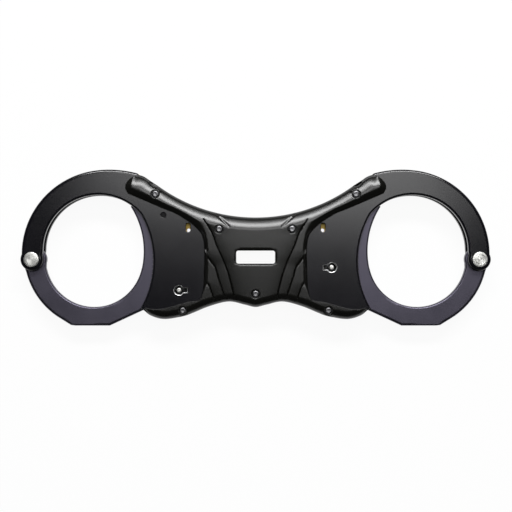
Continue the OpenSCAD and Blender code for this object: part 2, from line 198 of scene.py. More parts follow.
def spaced(points, step):
    """The same closed outline with extra points, so that no edge is much longer than step."""
    ends = np.roll(points, -1, 0)
    count = np.maximum(np.ceil(np.linalg.norm(ends - points, axis=1) / step), 1).astype(int)
    edge = np.repeat(np.arange(len(points)), count)
    first = np.repeat(np.cumsum(count) - count, count)
    t = ((np.arange(len(edge)) - first) / count[edge])[:, None]
    return points[edge] * (1 - t) + ends[edge] * t


def distance(points, line):
    """Distance from each point to an open line, as the least over its edges."""
    best = np.full(len(points), np.inf)
    for a, b in zip(line[:-1], line[1:]):
        t = np.clip((points - a) @ (b - a) / ((b - a) @ (b - a)), 0, 1)
        best = np.minimum(best, np.linalg.norm(points - a - t[:, None] * (b - a), axis=1))
    return best


def inside(points, outline):
    """Whether each point lies in a closed outline: an odd number of its edges lie to the right."""
    odd = np.zeros(len(points), bool)
    x, y = points.T
    for a, b in zip(outline, np.roll(outline, -1, 0)):
        if a[1] != b[1]:
            crosses = (a[1] > y) != (b[1] > y)
            odd ^= crosses & (x < (b[0] - a[0]) * (y - a[1]) / (b[1] - a[1]) + a[0])
    return odd


def soft_min(a, b, k):
    """The lesser of a and b, with the corner between them rounded over about k."""
    return 0.5 * (a + b - np.sqrt((a - b) ** 2 + k * k))


def ease(x, low, high):
    """0 below low, 1 above high and a smooth rise between them."""
    t = np.clip((x - low) / (high - low), 0, 1)
    return t * t * (3 - 2 * t)


# ---- outlines of one cuff, from its pivot ----
def cheek_outline():
    """Anticlockwise: round the eye, up the opening, down the hollow, the foot, the inner end, the
    top edge under the grip, the crown and the outer arc."""
    crown_c = OUTER_C - polar(CROWN_R - OUTER_R, BLEND_A)
    corner = meet(HOLLOW_C, HOLLOW_R, OPENING_C, OPENING_R)
    eye_left = meet(np.zeros(2), EYE_R, OUTER_C, OUTER_R)
    end = -PLATE_END - PIVOT[0]
    foot = smooth([[end, -19.8], [92.8, -22.3], [84.6, -25.2], [72.6, -28.3], [66.6, -28.8], [61.2, -27.4]])
    rise = TOP_R + TOP_RISE
    sides = [270 - math.degrees(math.asin(x / rise)) for x in (PLATE_TOP_END, PLATE_END)]
    top = arc(TOP_C, rise, *sides, 12) - HOME
    return np.vstack([
        arc([0, 0], EYE_R, angle(eye_left), 379, 40),
        arc(OPENING_C, OPENING_R, 179.4, angle(corner - OPENING_C), 56),
        arc(HOLLOW_C, HOLLOW_R, angle(corner - HOLLOW_C) - 1, HOLLOW_END, 30),
        foot[::-1], top[::-1],
        arc(crown_c, CROWN_R, CROWN_END, BLEND_A, 14),
        arc(OUTER_C, OUTER_R, BLEND_A + 1, angle(eye_left - OUTER_C), 44)[:-1]])


def strand_outline():
    """Anticlockwise: over the eye, down the belly, the flat, the heel, up the teeth, the tip, then
    down the inner side of the toothed bar and round the bow."""
    root_r = TIP_R - TOOTH_H
    starts = FIRST_TOOTH + TOOTH_STEP * np.arange(int((ROW_END - FIRST_TOOTH) / TOOTH_STEP))
    teeth = np.stack([polar(TIP_R, starts), polar(root_r, starts + TOOTH_STEP)], 1).reshape(-1, 2)
    return np.vstack([
        arc([1.1, 0], EYE_R + 0.2, -18, 60, 14),
        arc([0, 0], EYE_R, 75, 216, 26),
        arc(BELLY_C, BELLY_R, 194, 236, 22),
        [[20.9, 0.3 - STRAND_DROP], [23.2, -STRAND_DROP], [42.3, -STRAND_DROP]],
        [polar(TIP_R - 0.6, FIRST_TOOTH - 2.4), polar(root_r, FIRST_TOOTH)],
        teeth,
        [polar(root_r, ROW_END), polar(root_r - 1.3, ROW_END + 1.2), polar(root_r - 2.9, ROW_END + 1.3)],
        arc(BAR_C, BAR_R, 32.5, -12, 30),
        arc(BOW_C, BOW_R, -12, -169, 60)])


def keyway(at):
    """Clockwise: a round hole about the post with a flag towards +X."""
    half = FLAG_W / 2
    open_a = math.degrees(math.asin(half / KEYWAY_R))
    return np.vstack([arc([0, 0], KEYWAY_R, 360 - open_a, open_a, 36),
                      [[FLAG_REACH, half], [FLAG_REACH, -half]]]) + at


def slot(at):
    """Clockwise: two half circles joined by straight sides, long in Y."""
    rise = (SLOT_LEN - SLOT_W) / 2
    return np.vstack([arc([0, rise], SLOT_W / 2, 180, 0, 18), arc([0, -rise], SLOT_W / 2, 0, -180, 18)]) + at


def hole(at, r, n=36):
    """Clockwise circle about a point."""
    return arc(at, r, 360, 0, n)[:-1]


# Places in one cuff, from its pivot
PAWL_PIN_AT = polar(TIP_R + 8.35, 18.53)
LOW_POST_AT = polar(TIP_R + 14.65, -11.83)
HIGH_POST_AT = polar(TIP_R + 13.32, -3.11)
SLOT_AT = polar(TIP_R + 19.65, 11.48)
ARM_SCREW_AT = np.array([67.8, 35.6])
FOOT_SCREW_AT = np.array([82.8, -28])

# The grip's hollow upper edge is one arc through both arm roots, in the grip's own frame
ARM_ROOT = np.array([68.6, 40.7])
GRIP_TOP_Y = 16.5
TOP_X = -PIVOT[0] - ARM_ROOT[0]
TOP_Y = ARM_ROOT[1] - PIVOT_DROP - GRIP_TOP_Y
TOP_R = (TOP_X ** 2 + TOP_Y ** 2) / (2 * TOP_Y)
TOP_C = np.array([0, GRIP_TOP_Y + TOP_R])


# ---- outline of the grip, in its own frame ----
EDGE_SPAN = 10                           # steps between two given points of a long edge
TIP_SPAN = 6                             # and of the upper arm's end
TIP_TOP = 3 * TIP_SPAN                   # the number of the end's highest point


def bottom_edge():
    """From the centre line to the tip of the lower left arm. The first span is left out: its point
    past the centre line only levels the curve there."""
    line = smooth(np.vstack([[[6, -31.4], [0, -32.7], [-6, -31.4], [-14.9, -29.7], [-25.8, -32.4]],
                             np.array([[84.9, -30.6], [73, -32.8], [65.1, -30.9], [61, -27.6]]) + HOME]),
                  EDGE_SPAN)
    return line[EDGE_SPAN:]


def plate_edge():
    """From the lower arm's tip, up beside the plate, to the upper arm's tip."""
    return smooth(np.vstack([np.array([[62.2, -26.4], [66.6, -27.2], [72.6, -26.7], [84.6, -23.4]]) + HOME,
                             [[-29.8, -27.1], [-28.2, -10.4], [-28.6, 4.2], [-33.2, 11.3]],
                             np.array([[79.7, 24.5], [71.6, 27.9], [52.7, 36]]) + HOME]), EDGE_SPAN)


def arm_tip():
    """Round the end of the upper left arm."""
    return smooth(np.array([[51.3, 38.2], [51.6, 41.2], [54.2, 44.3], [57.8, 46.1],
                            [61.4, 45.3], [65, 42.9]]) + HOME, TIP_SPAN)


def top_edge():
    """From the upper left arm's root to the centre line."""
    start = math.degrees(math.asin(TOP_X / TOP_R))
    return arc(TOP_C, TOP_R, 270 - start, 270, 60)


# ---- meshes ----
def piece(name, verts, faces, body, slot, replaced=(), zones=None, normals=None, sharp=50):
    """Makes a mesh object from points in millimetres. Edges sharper than the angle given stay sharp,
    unless the points' own normals are given. zones holds each face's material number."""
    mesh = bpy.data.meshes.new(name)
    mesh.from_pydata(np.asarray(verts) * MM, [], faces)
    mesh.polygons.foreach_set("use_smooth", np.ones(len(mesh.polygons), bool))
    if zones is not None:
        mesh.polygons.foreach_set("material_index", np.asarray(zones, np.int32))
    if normals is None:
        mesh.set_sharp_from_angle(angle=math.radians(sharp))
    else:
        mesh.normals_split_custom_set_from_vertices(np.asarray(normals, float))
    obj = bpy.data.objects.new(name, mesh)
    bpy.context.scene.collection.objects.link(obj)
    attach(obj, body)
    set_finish(obj, slot)
    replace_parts(obj, *replaced)
    return obj


def turned(verts):
    """Points after half a turn about the Y axis through the middle of the thickness."""
    return np.asarray(verts) * [-1, 1, -1] + [0, 0, 2 * MID_Z]


def tube(rings, first):
    """Faces of a closed tube: rings x points on a grid, numbered on from first."""
    r, n = rings
    i = np.arange(n)
    row = np.arange(r - 1)[:, None] * n + first
    j = (i + 1) % n
    return np.stack([row + i, row + n + i, row + n + j, row + j], -1).reshape(-1, 4)


def ring_edges(loops):
    """Pairs that join each loop's points round, numbered on from loop to loop."""
    starts = np.cumsum([0] + [len(loop) for loop in loops[:-1]])
    return np.vstack([np.stack([s + np.arange(len(loop)), s + np.roll(np.arange(len(loop)), -1)], -1)
                      for s, loop in zip(starts, loops)])


def fill(loops, extra=()):
    """Upward triangles over an outline and its holes, with extra points inside, as numbers into the
    points one after another. A triangle is kept where its middle lies inside an odd number of loops,
    and turned by the sign of its area."""
    flat = np.vstack([*loops, *extra])
    found = delaunay_2d_cdt([Vector(p) for p in flat], ring_edges(loops).tolist(), [], 1, 1e-6)
    if len(found[0]) != len(flat):
        raise ValueError(f"outlines cross near {[v[:] for v, first in zip(found[0], found[3]) if not first]}")
    given = np.array([first[0] for first in found[3]])
    triangles = given[np.array(found[2])]
    middle = flat[triangles].mean(1)
    triangles = triangles[np.logical_xor.reduce([inside(middle, loop) for loop in loops])]
    a, b, c = (flat[triangles[:, k]] for k in range(3))
    up = (b[:, 0] - a[:, 0]) * (c[:, 1] - a[:, 1]) > (b[:, 1] - a[:, 1]) * (c[:, 0] - a[:, 0])
    return np.where(up[:, None], triangles, triangles[:, ::-1])


def plate(loops, z0, z1):
    """Flat plate with rounded edges. Each loop is (outline, width, height, zone): its edge is a quarter
    of an ellipse, inset = width (1 - sin a) and drop = height (1 - cos a), on both faces. Returns the
    points, faces, zones and exact normals."""
    a = np.radians(np.linspace(0, 90, EDGE_STEPS + 1))
    verts, normals, faces, zones, tops, first = [], [], [], [], [], 0
    for outline, width, height, zone in loops:
        out = outward(outline)
        width = np.broadcast_to(width, len(outline))[:, None]
        sa, ca = np.append(np.sin(a), np.sin(a[::-1])), np.append(np.cos(a), -np.cos(a[::-1]))
        xy = outline - out * width * (1 - sa[:, None, None])
        fall = height * (1 - np.cos(a))
        z = np.append(z1 - fall, z0 + fall[::-1])
        n = np.concatenate([out * height * sa[:, None, None], width * ca[:, None, None]], -1)
        normals.append((n / np.linalg.norm(n, axis=-1, keepdims=True)).reshape(-1, 3))
        levels = np.broadcast_to(z[:, None, None], xy.shape[:2] + (1,))
        verts.append(np.concatenate([xy, levels], -1).reshape(-1, 3))
        sides = tube(xy.shape[:2], first)
        faces.append(sides)
        zones.append(np.full(len(sides), zone))
        tops.append((xy[0], first, first + (len(z) - 1) * len(outline)))
        first += xy.shape[0] * xy.shape[1]
    cap = fill([t[0] for t in tops])
    upper = np.concatenate([t[1] + np.arange(len(t[0])) for t in tops])
    lower = np.concatenate([t[2] + np.arange(len(t[0])) for t in tops])
    all_faces = [*np.vstack(faces).tolist(), *upper[cap].tolist(), *lower[cap][:, ::-1].tolist()]
    zones = np.concatenate(zones + [np.zeros(2 * len(cap), int)])
    return np.vstack(verts), all_faces, zones, np.vstack(normals)


def capped(rings, top, bottom):
    """Closed skin over rings x points on a grid, with a fan of triangles to a pole at each end."""
    count, n = rings.shape[:2]
    i = np.arange(n)
    j, last = (i + 1) % n, (count - 1) * n
    upper = np.stack([np.full(n, count * n), i, j], -1)
    lower = np.stack([np.full(n, count * n + 1), last + j, last + i], -1)
    faces = [*tube((count, n), 0).tolist(), *upper.tolist(), *lower.tolist()]
    return np.vstack([rings.reshape(-1, 3), [top, bottom]]), faces


def lathe(profile, at, n=64):
    """Turned solid: (radius, z) points carried round a vertical axis, from the top's middle to the
    bottom's middle. The first and last points are the poles."""
    profile = np.asarray(profile, float)
    turn = polar(1, np.arange(n) * 360 / n)
    rings = np.concatenate([profile[1:-1, :1, None] * turn + at,
                            np.broadcast_to(profile[1:-1, 1:, None], (len(profile) - 2, n, 1))], -1)
    return capped(rings, [*at, profile[0, 1]], [*at, profile[-1, 1]])


def joined(parts):
    """Points and faces of several solids as one, each numbered on from the one before."""
    verts, faces, first = [], [], 0
    for points, skin in parts:
        faces += [[first + k for k in face] for face in skin]
        verts.append(points)
        first += len(points)
    return np.vstack(verts), faces


def rounded(r, z, edge, up):
    """(radius, z) points of a rounded corner at radius r and height z: face first where up is 1."""
    a = np.radians(np.linspace(0, 90, CORNER_STEPS + 1))
    points = np.stack([r - edge * (1 - np.sin(a)), z - up * edge * (1 - np.cos(a))], -1)
    return points if up > 0 else points[::-1]


def both_sides(part, name, slot, nodes):
    """Makes the left piece and the right one, which is the left one turned about Y."""
    verts, faces, zones, normals = part
    for side, node in zip(("left", "right"), nodes):
        right = side == "right"
        placed = turned(verts) if right else verts
        facing = None if normals is None else normals * ([-1, 1, -1] if right else [1, 1, 1])
        body = node if node in frame["bodies"] else "frame"
        yield piece(f"{side}_{name}", placed, faces, body, slot, [node], zones, facing)


# ---- cuffs ----
def lift(part):
    """A plate made about the middle of the thickness and the pivot, moved to its place."""
    verts, faces, zones, normals = part
    return verts + [*PIVOT, MID_Z], faces, zones, normals


def cheek(z0, key_at, pin_shows):
    """Cheek plate: broad rounded edge outside, a smaller one round the opening, nearly none where the
    grip covers it, and a bare metal keyway. The widths run into each other over a few points."""
    broad, small, least, edge_height = 1.8, 1.3, 0.1, 1.2
    grip_starts, grip_top = 57, 45
    outline = spaced(cheek_outline(), OUTLINE_STEP)
    opening_side = np.vstack([arc(OPENING_C, OPENING_R, 180, 40), arc(HOLLOW_C, HOLLOW_R, 30, HOLLOW_END)])
    inner = distance(outline, opening_side) < 0.3
    covered = (outline[:, 0] > grip_starts) & ~inner & (outline[:, 1] < grip_top)
    width = np.where(inner, small, np.where(covered, least, broad))
    for _ in range(2):
        width = np.minimum(width, (width + np.roll(width, 1) + np.roll(width, -1)) / 3)
    loops = [(outline, width, edge_height, 0),
             (hole([0, 0], RIVET_R), 0.2, 0.2, 0),
             (hole(ARM_SCREW_AT, SCREW_R + 0.15, 24), 0.2, 0.2, 0),
             (slot(SLOT_AT), 0.3, 0.3, 0),
             (keyway(key_at), 0.5, 0.5, 1)]
    if pin_shows:
        loops.append((hole(PAWL_PIN_AT, PIN_R + 0.02), 0.35, 0.35, 0))
    return lift(plate(loops, z0, z0 + CHEEK_T))


def strand():
    """Single strand: a broad rounded edge outside and round the eye, a smaller one inside, and teeth
    that are nearly sharp."""
    broad, small, least, edge_height = 1.6, 1.0, 0.12, 1.0
    outline = spaced(strand_outline(), OUTLINE_STEP)
    r = np.linalg.norm(outline, axis=1)
    toothed = (r > TIP_R - TOOTH_H - 0.2) & (outline[:, 1] > -26.5)
    outer = (r > 50) & (outline[:, 1] < -20) | (outline[:, 0] < 0)
    outer |= (outline[:, 0] < 20) & (np.linalg.norm(outline - BELLY_C, axis=1) > BELLY_R - 1.9)
    width = np.where(toothed, least, np.where(outer, broad, small))
    width = np.where(toothed, least, (np.roll(width, 1) + width + np.roll(width, -1)) / 3)
    loops = [(outline, width, edge_height, 0), (hole([0, 0], RIVET_R + 0.05), 0.15, 0.15, 0)]
    return lift(plate(loops, STRAND_LOW - MID_Z, STRAND_HIGH - MID_Z))


def rivet():
    """A plain head in front and a head with a turned ring groove behind, on one shank. Each head stands
    a hair off its plate, and the rows inside its flat face keep it flat when shaded."""
    top, under, edge = FACE_Z + HEAD_H, FACE_Z + 0.02, 0.35
    groove_r, groove_w, groove_h = RIVET_HEAD_R * 0.58, 0.45, 0.6
    profile = [(0, top), (1, top), (2.4, top), *rounded(RIVET_HEAD_R, top, edge, 1),
               (RIVET_HEAD_R, under), (RIVET_R, under), (RIVET_R, -under), (RIVET_HEAD_R, -under),
               *rounded(RIVET_HEAD_R, -top, edge, -1),
               (groove_r + groove_w, -top), (groove_r + groove_w, groove_h - top),
               (groove_r, groove_h - top), (groove_r, -top), (1, -top), (0, -top)]
    return lift((*lathe(profile, [0, 0]), None, None))


def key_post(at, up):
    """Post in a keyway: a rounded end with a small dimple, just below the plate's face."""
    top, low = FACE_Z - 0.4, -GAP_HALF - CHEEK_T / 2
    profile = [(0, top - 0.3), (0.35, top - 0.22), (0.5, top), *rounded(POST_R, top, 0.4, 1),
               (POST_R, low), (0, low)]
    verts, faces = lathe(profile, at, 40)
    if not up:
        verts, faces = verts * [1, 1, -1], [face[::-1] for face in faces]
    return lift((verts, faces, None, None))


def make_cuffs():
    """Both cuffs' cheeks, strands, rivets and key posts. Turning the left cuff about Y puts its front
    plate at the right cuff's back."""
    parts = [
        (cheek(GAP_HALF, LOW_POST_AT, True), "cheek_of_pin_side", "black_anodised",
         ["left_front_cheek", "right_back_cheek"]),
        (cheek(-FACE_Z, HIGH_POST_AT, False), "cheek_of_far_side", "black_anodised",
         ["left_back_cheek", "right_front_cheek"]),
        (strand(), "toothed_strand", "black_steel", ["left_strand", "right_strand"]),
        (rivet(), "turned_rivet", "bright_steel", ["left_pivot_rivet", "right_pivot_rivet"]),
        (key_post(LOW_POST_AT, True), "low_key_post", "bright_steel",
         ["left_front_key_post", "right_back_key_post"]),
        (key_post(HIGH_POST_AT, False), "high_key_post", "bright_steel",
         ["left_back_key_post", "right_front_key_post"])]
    return [obj for part in parts for obj in both_sides(*part)]


# ---- grip ----
# Sloped upper and lower edges: width, slope at the inner and outer side, and the width of the round
FRONT_EDGES = ((6.6, 0.25, 0.57, 1.8), (4.3, 0.3, 0.75, 1.8))
BACK_EDGES = ((2.6, 0.1, 0.3, 1.2), (1.3, 0.05, 0.1, 1.1))
# Steps down towards the plate, each with a groove along it: its line from the upper end, and its depth
LEDGES = (
    ([[-28.3, 15.6], [-23.6, 7.7], [-21.3, 1.4], [-17.7, -6.5], [-14.9, -14], [-13.4, -19.5],
      [-11.8, -26.2]], 0.4),
    ([[-27.2, -1], [-25.6, -5.7], [-22, -10.8], [-20.4, -16.3], [-18.9, -20.7], [-17.1, -26.2]], 0.35),
    ([[-27.6, -18.3], [-25.2, -21.1], [-23.8, -24.6], [-22.8, -27.4]], 0.3))
LEDGE_GROWTH = 9                         # a ledge deepens over this length from its upper end
LEDGE_REACH = 4                          # how far beside its line a step dies out
LEDGE_GROOVE = (0.45, 0.8)               # half width and depth of the groove along a ledge
PANEL_GROOVE = np.array([[-21.6, 18.3], [-14.5, 11.3]])
PANEL_GROOVE_SIZE = (0.7, 0.4)
PAD_W, PAD_H, PAD_SLOPE = 0.5, 7.6, 2    # round pad that keeps a recess's wall where the cover slopes away
RECESS_ROUND = (0.35, 0.25)              # width and depth of the round at a recess's rim
WINDOW_ROUND = (0.6, 0.5)
ROOF_Z = FACE_Z + 0.15                   # the cover's inner face, just clear of the plates
BESIDE_Z = FACE_Z + 0.45                 # the cover's edge beside a plate
LIP = 1.3                                # thickness of the cover's outer wall
GRID_STEP = 0.55
GRID_REACH = np.array([71, 40])          # a little past the cover's half length and half height


def edge_fall(d, width, low_slope, high_slope, round_w):
    """How far the surface lies below the grip's flat face at distance d from its outer edge: a slope
    that steepens evenly across width, then a round that turns down to the edge over round_w."""
    v = np.clip(width - d, 0, width - round_w)
    slope = low_slope * v + (high_slope - low_slope) * v * v / (2 * (width - round_w))
    start = math.sin(math.atan(high_slope))
    bend = np.clip(start + np.clip(round_w - d, 0, round_w) * (1 - start) / round_w, 0, 1)
    radius = round_w / (1 - start)
    return slope + radius * (math.cos(math.asin(start)) - np.sqrt(1 - bend * bend))


def ledge_fall(p, points, depth):
    """How far a ledge lowers the surface: a step that is deepest at its line and dies out beside it,
    and a groove with straight sides along the line. Both fade out past the line's lower end."""
    x, y = p.T
    line = smooth(points, 8)[::-1]
    low, high = line[0, 1], line[-1, 1]
    run = np.interp(y, line[:, 1], line[:, 0])
    lean = np.interp(y, line[:, 1], np.gradient(line[:, 0], line[:, 1]))
    side = (x - run) / np.sqrt(1 + lean * lean)
    present = ease(y, low - 5, low - 1) * ease(-y, -high, LEDGE_GROWTH - high)
    step = ease(side, -0.25, 0.25) * np.exp(-np.clip(side, 0, None) / LEDGE_REACH)
    half_width, cut_depth = LEDGE_GROOVE
    cut = np.clip(1 - distance(p, line) / half_width, 0, 1)
    return depth * present * step + cut_depth * ease(y, low - 3, low + 1) * cut


def rim_fall(away, size):
    """A round at a hole's rim: its depth falls with the square of how much of its width is left."""
    width, depth = size
    return depth * (1 - np.clip(away, 0, width) / width) ** 2


def grip_height(points, screws, upper_edge, lower_edge):
    """Height of a cover above its middle plane: the least of the flat top, the slope up from the
    plate and the bevels along the upper and lower edges, less the ledges, the grooves and the small
    rounds at the recesses and the window. The slope up from the plate is gentler by the upper arm and
    steep at the foot. The left half is mirrored."""
    p = points * [-1, 1]
    p = np.where(points[:, :1] < 0, points, p)
    y = p[:, 1]
    upper = distance(p, np.vstack([arm_tip()[TIP_TOP:], top_edge()]))
    lower = distance(p, bottom_edge())
    beside = distance(p, np.vstack([plate_edge(), arm_tip()[:TIP_TOP + 1]]))
    fall = np.maximum(edge_fall(upper, *upper_edge), edge_fall(lower, *lower_edge))
    ramp_slope = 1.25 - 0.6 * ease(y, 4, 14) + 7 * ease(-y, 20, 26)
    ramp = BESIDE_Z + ramp_slope * beside
    height = soft_min(HALF_T - fall, ramp, 0.25)
    for line, depth in LEDGES:
        height -= ledge_fall(p, line, depth)
    half_width, depth = PANEL_GROOVE_SIZE
    height -= depth * np.clip(1 - distance(p, PANEL_GROOVE) / half_width, 0, 1)
    for at in screws:
        away = np.linalg.norm(points - at, axis=1) - RECESS_R
        height = np.maximum(height, PAD_H - PAD_SLOPE * np.clip(away - PAD_W, 0, None))
        height -= rim_fall(away, RECESS_ROUND)
    off = np.abs(points - WINDOW_AT) - WINDOW / 2 + WINDOW_R
    away = np.linalg.norm(np.clip(off, 0, None), axis=1) - WINDOW_R
    return np.minimum(height - rim_fall(away, WINDOW_ROUND), HALF_T)


def grip_loop():
    """Anticlockwise outline of the grip, and whether each point lies beside a plate."""
    parts = [(bottom_edge(), False), (plate_edge()[1:], True), (arm_tip()[1:], True),
             (top_edge()[1:], False)]
    half = np.vstack([p for p, _ in parts])
    beside = np.concatenate([np.full(len(p), b) for p, b in parts])
    line = np.vstack([half[::-1], half[1:-1] * [-1, 1]])
    return line, np.concatenate([beside[::-1], beside[1:-1]])


def window_loop():
    """Clockwise rounded rectangle."""
    corners = [((1, 1), 90, 0), ((1, -1), 0, -90), ((-1, -1), -90, -180), ((-1, 1), 180, 90)]
    return np.vstack([arc(WINDOW_AT + np.array(s) * (WINDOW / 2 - WINDOW_R), WINDOW_R, a, b, 6)
                      for s, a, b in corners])


def screw_places():
    """The seven screws, in the grip's own frame."""
    arms = [(p + HOME) * [s, 1] for p in (ARM_SCREW_AT, FOOT_SCREW_AT) for s in (-1, 1)]
    return np.array([*arms, [-19.9, 10], [19.9, 10], [0, -25.4]])


def clear_points(points, line, screws, edge_gap, window_gap, recess_gap):
    """The points inside the outline that keep these gaps from it, from the window and from the recesses."""
    keep = inside(points, line) & (distance(points, np.vstack([line, line[:1]])) > edge_gap)
    keep &= (np.abs(points - WINDOW_AT) - WINDOW / 2).max(1) > window_gap
    for at in screws:
        keep &= np.linalg.norm(points - at, axis=1) > RECESS_R + recess_gap
    return points[keep]


def surface_points(line, screws):
    """Points that carry a cover's top: rows beside the outline, the recesses, the window and the ledges,
    and between them a grid whose every other row is moved half a step."""
    window = window_loop()
    rows = [line - outward(line) * d for d in (0.08, 0.22, 0.42, 0.7, 1.05, 1.45, 1.9)]
    rows += [hole(at, RECESS_R + d, RECESS_N) for at in screws for d in (0.12, 0.3, 0.55)]
    rows += [window - outward(window) * d for d in (0.12, 0.35, 0.65)]
    rows += [smooth(np.array(points) * [s, 1], 24) + [d, 0]
             for points, _ in LEDGES for s in (1, -1) for d in (-0.5, -0.25, 0, 0.25, 0.5)]
    x, y = np.meshgrid(*(np.arange(-reach, reach + GRID_STEP, GRID_STEP) for reach in GRID_REACH))
    x[1::2] += GRID_STEP / 2
    grid = clear_points(np.stack([x.ravel(), y.ravel()], -1), line, screws, 2.1, 0.8, 0.75)
    return clear_points(np.vstack([*rows, grid]), line, screws, 0.05, 0.05, 0.05)


def outer_wall(loop, beside):
    """Down the wall, in under the lip and up to the roof, as three rows of an outline and a height. Beside
    a plate the wall ends just below the roof, and the lip tapers at the lower arms' ends."""
    low = np.where(beside, ROOF_Z - 0.05, 0.0)
    left = np.column_stack([-np.abs(loop[:, 0]), loop[:, 1]])
    from_end = np.linalg.norm(left - bottom_edge()[-1], axis=1)
    inner = loop - outward(loop) * LIP * (0.08 + 0.92 * ease(from_end, 0, 6))[:, None]
    return [(loop, low), (inner, low), (inner, ROOF_Z)]


def recess_wall(at):
    """Down to the screw's seat, in to its shank and on down to the roof, in the same form."""
    shank = hole(at, SCREW_R + 0.1, RECESS_N)
    return [(hole(at, RECESS_R, RECESS_N), SCREW_SEAT), (shank, SCREW_SEAT), (shank, ROOF_Z)]


def cover(recessed):
    """Front cover about the middle plane. The top is a fine grid of triangles cut by the outlines and
    lifted to grip_height. Each outline is then carried down its wall and in to the roof over the plates."""
    line, beside = grip_loop()
    screws = screw_places() if recessed else np.zeros((0, 2))
    walls = [outer_wall(line, beside), outer_wall(window_loop(), False), *[recess_wall(at) for at in screws]]
    loops = [rows[0][0] for rows in walls]
    free = surface_points(line, screws)
    flat = np.vstack([*loops, free])
    edges = FRONT_EDGES if recessed else BACK_EDGES
    verts = [np.column_stack([flat, grip_height(flat, screws, *edges)])]
    faces, roof_ids, start, first = [fill(loops, [free])], [], 0, len(flat)
    for rows in walls:
        verts += [np.column_stack([outline, np.broadcast_to(z, len(outline))]) for outline, z in rows]
        n = len(rows[0][0])
        i = np.arange(n)
        j = np.roll(i, -1)
        faces.append(np.stack([start + i, first + i, first + j, start + j], -1))
        faces.append(tube((3, n), first))
        roof_ids.append(first + 2 * n + i)
        start += n
        first += 3 * n
    roof = fill([rows[2][0] for rows in walls])
    faces.append(np.concatenate(roof_ids)[roof][:, ::-1])
    return np.vstack(verts), [face for block in faces for face in block.tolist()]


def make_covers():
    """Front cover with its screw recesses, and the plain back cover, which is the same shape below."""
    verts, faces = cover(True)
    front = piece("front_cover_shell", verts + [*GRIP, MID_Z], faces, "frame", "grip_polymer",
                  ["front_cover"])
    verts, faces = cover(False)
    back = piece("back_cover_shell", verts * [-1, 1, -1] + [*GRIP, MID_Z], faces, "frame", "grip_polymer",
                 ["back_cover"])
    return [front, back]


def socket_screw(at):
    """Cap screw: a turned head with a rounded rim, whose inner rows run into a hexagonal socket. The
    radius at angle a is half the flats over cos(a), a being taken from the nearest flat."""
    n = 48
    a = np.arange(n) * 360 / n
    hexagon = SOCKET_AF / 2 / np.cos(np.radians((a + 30) % 60 - 30))
    circle = np.ones(n)
    low = SCREW_LOW - MID_Z
    top = SCREW_SEAT + SCREW_HEAD_H - SLOPE_SCREW_DROP * (abs(at[0]) > SLOPE_SCREW_X)
    rows = [(hexagon * 0.98, top - SOCKET_DEPTH + 0.1), (hexagon, top - 0.12), (hexagon * 1.1, top)]
    rows += [(circle * r, z) for r, z in rounded(SCREW_HEAD_R, top, 0.8, 1)]
    rows += [(circle * SCREW_HEAD_R, SCREW_SEAT), (circle * SCREW_R, SCREW_SEAT), (circle * SCREW_R, low)]
    rings = np.array([np.column_stack([polar(r, a) + at, np.full(n, z)]) for r, z in rows])
    return capped(rings, [*at, top - SOCKET_DEPTH], [*at, low])


def make_screws():
    """All seven screws as one piece."""
    verts, faces = joined(socket_screw(at) for at in screw_places())
    return piece("socket_screws", verts + [*GRIP, MID_Z], faces, "frame", "black_screw_steel",
                 ["cover_screws"], sharp=40)


def make_inserts():
    """Threaded inserts: rings that taper towards the back, seven in one piece."""
    (_, _, low), (_, _, high) = box_mm("threaded_inserts")
    profile = [(0, high), (SCREW_R, high), (1.9, high), (2.15, high - 0.25), (2.15, low + 0.9),
               (1.5, low), (0, low)]
    verts, faces = joined(lathe(profile, at, 40) for at in screw_places())
    return piece("threaded_brass_inserts", verts + [*GRIP, 0], faces, "frame", "insert_brass",
                 ["threaded_inserts"], sharp=40)


# ---- materials ----
def linear(hex_colour):
    """sRGB hex to linear colour."""
    c = np.array([int(hex_colour[i:i + 2], 16) for i in (1, 3, 5)]) / 255
    c = np.where(c <= 0.04045, c / 12.92, ((c + 0.055) / 1.055) ** 2.4)
    return (*c.tolist(), 1.0)


def add(tree, kind, inputs=None, **settings):
    """Adds a node. Its settings are attributes; each input is a value or an output to link."""
    node = tree.nodes.new("ShaderNode" + kind)
    for key, value in settings.items():
        setattr(node, key, value)
    for key, value in (inputs or {}).items():
        if isinstance(value, bpy.types.NodeSocket):
            tree.links.new(value, node.inputs[key])
        else:
            node.inputs[key].default_value = value
    return node


def finish(name, dark, light, rough, spread, patch, grain, depth, stretch=(1, 1, 1), **shader):
    """A finish of two close colours in soft patches, with a roughness that follows the patches and a
    fine grain as bump. Patch, grain and depth are in millimetres; stretch draws the grain out along an
    axis. Other settings go to the shader's own sockets."""
    mat = bpy.data.materials.new(name)
    mat.use_nodes = True
    tree = mat.node_tree
    tree.nodes.clear()
    place = add(tree, "TexCoord").outputs["Object"]
    patches = add(tree, "TexNoise", {"Vector": place, "Scale": 1 / (patch * MM), "Detail": 3.0})
    colour = add(tree, "Mix", {0: patches.outputs["Fac"], 6: linear(dark), 7: linear(light)},
                 data_type="RGBA")
    roughness = add(tree, "MapRange", {"Value": patches.outputs["Fac"], "From Min": 0.3, "From Max": 0.7,
                                       "To Min": rough - spread, "To Max": rough + spread})
    drawn = add(tree, "Mapping", {"Vector": place, "Scale": stretch})
    noise = add(tree, "TexNoise", {"Vector": drawn.outputs[0], "Scale": 1 / (grain * MM), "Detail": 2.0})
    bump = add(tree, "Bump", {"Height": noise.outputs["Fac"], "Distance": depth * MM})
    surface = add(tree, "BsdfPrincipled", {"Base Color": colour.outputs[2],
                                           "Roughness": roughness.outputs[0],
                                           "Normal": bump.outputs[0], **shader})
    add(tree, "OutputMaterial", {"Surface": surface.outputs[0]})
    return mat


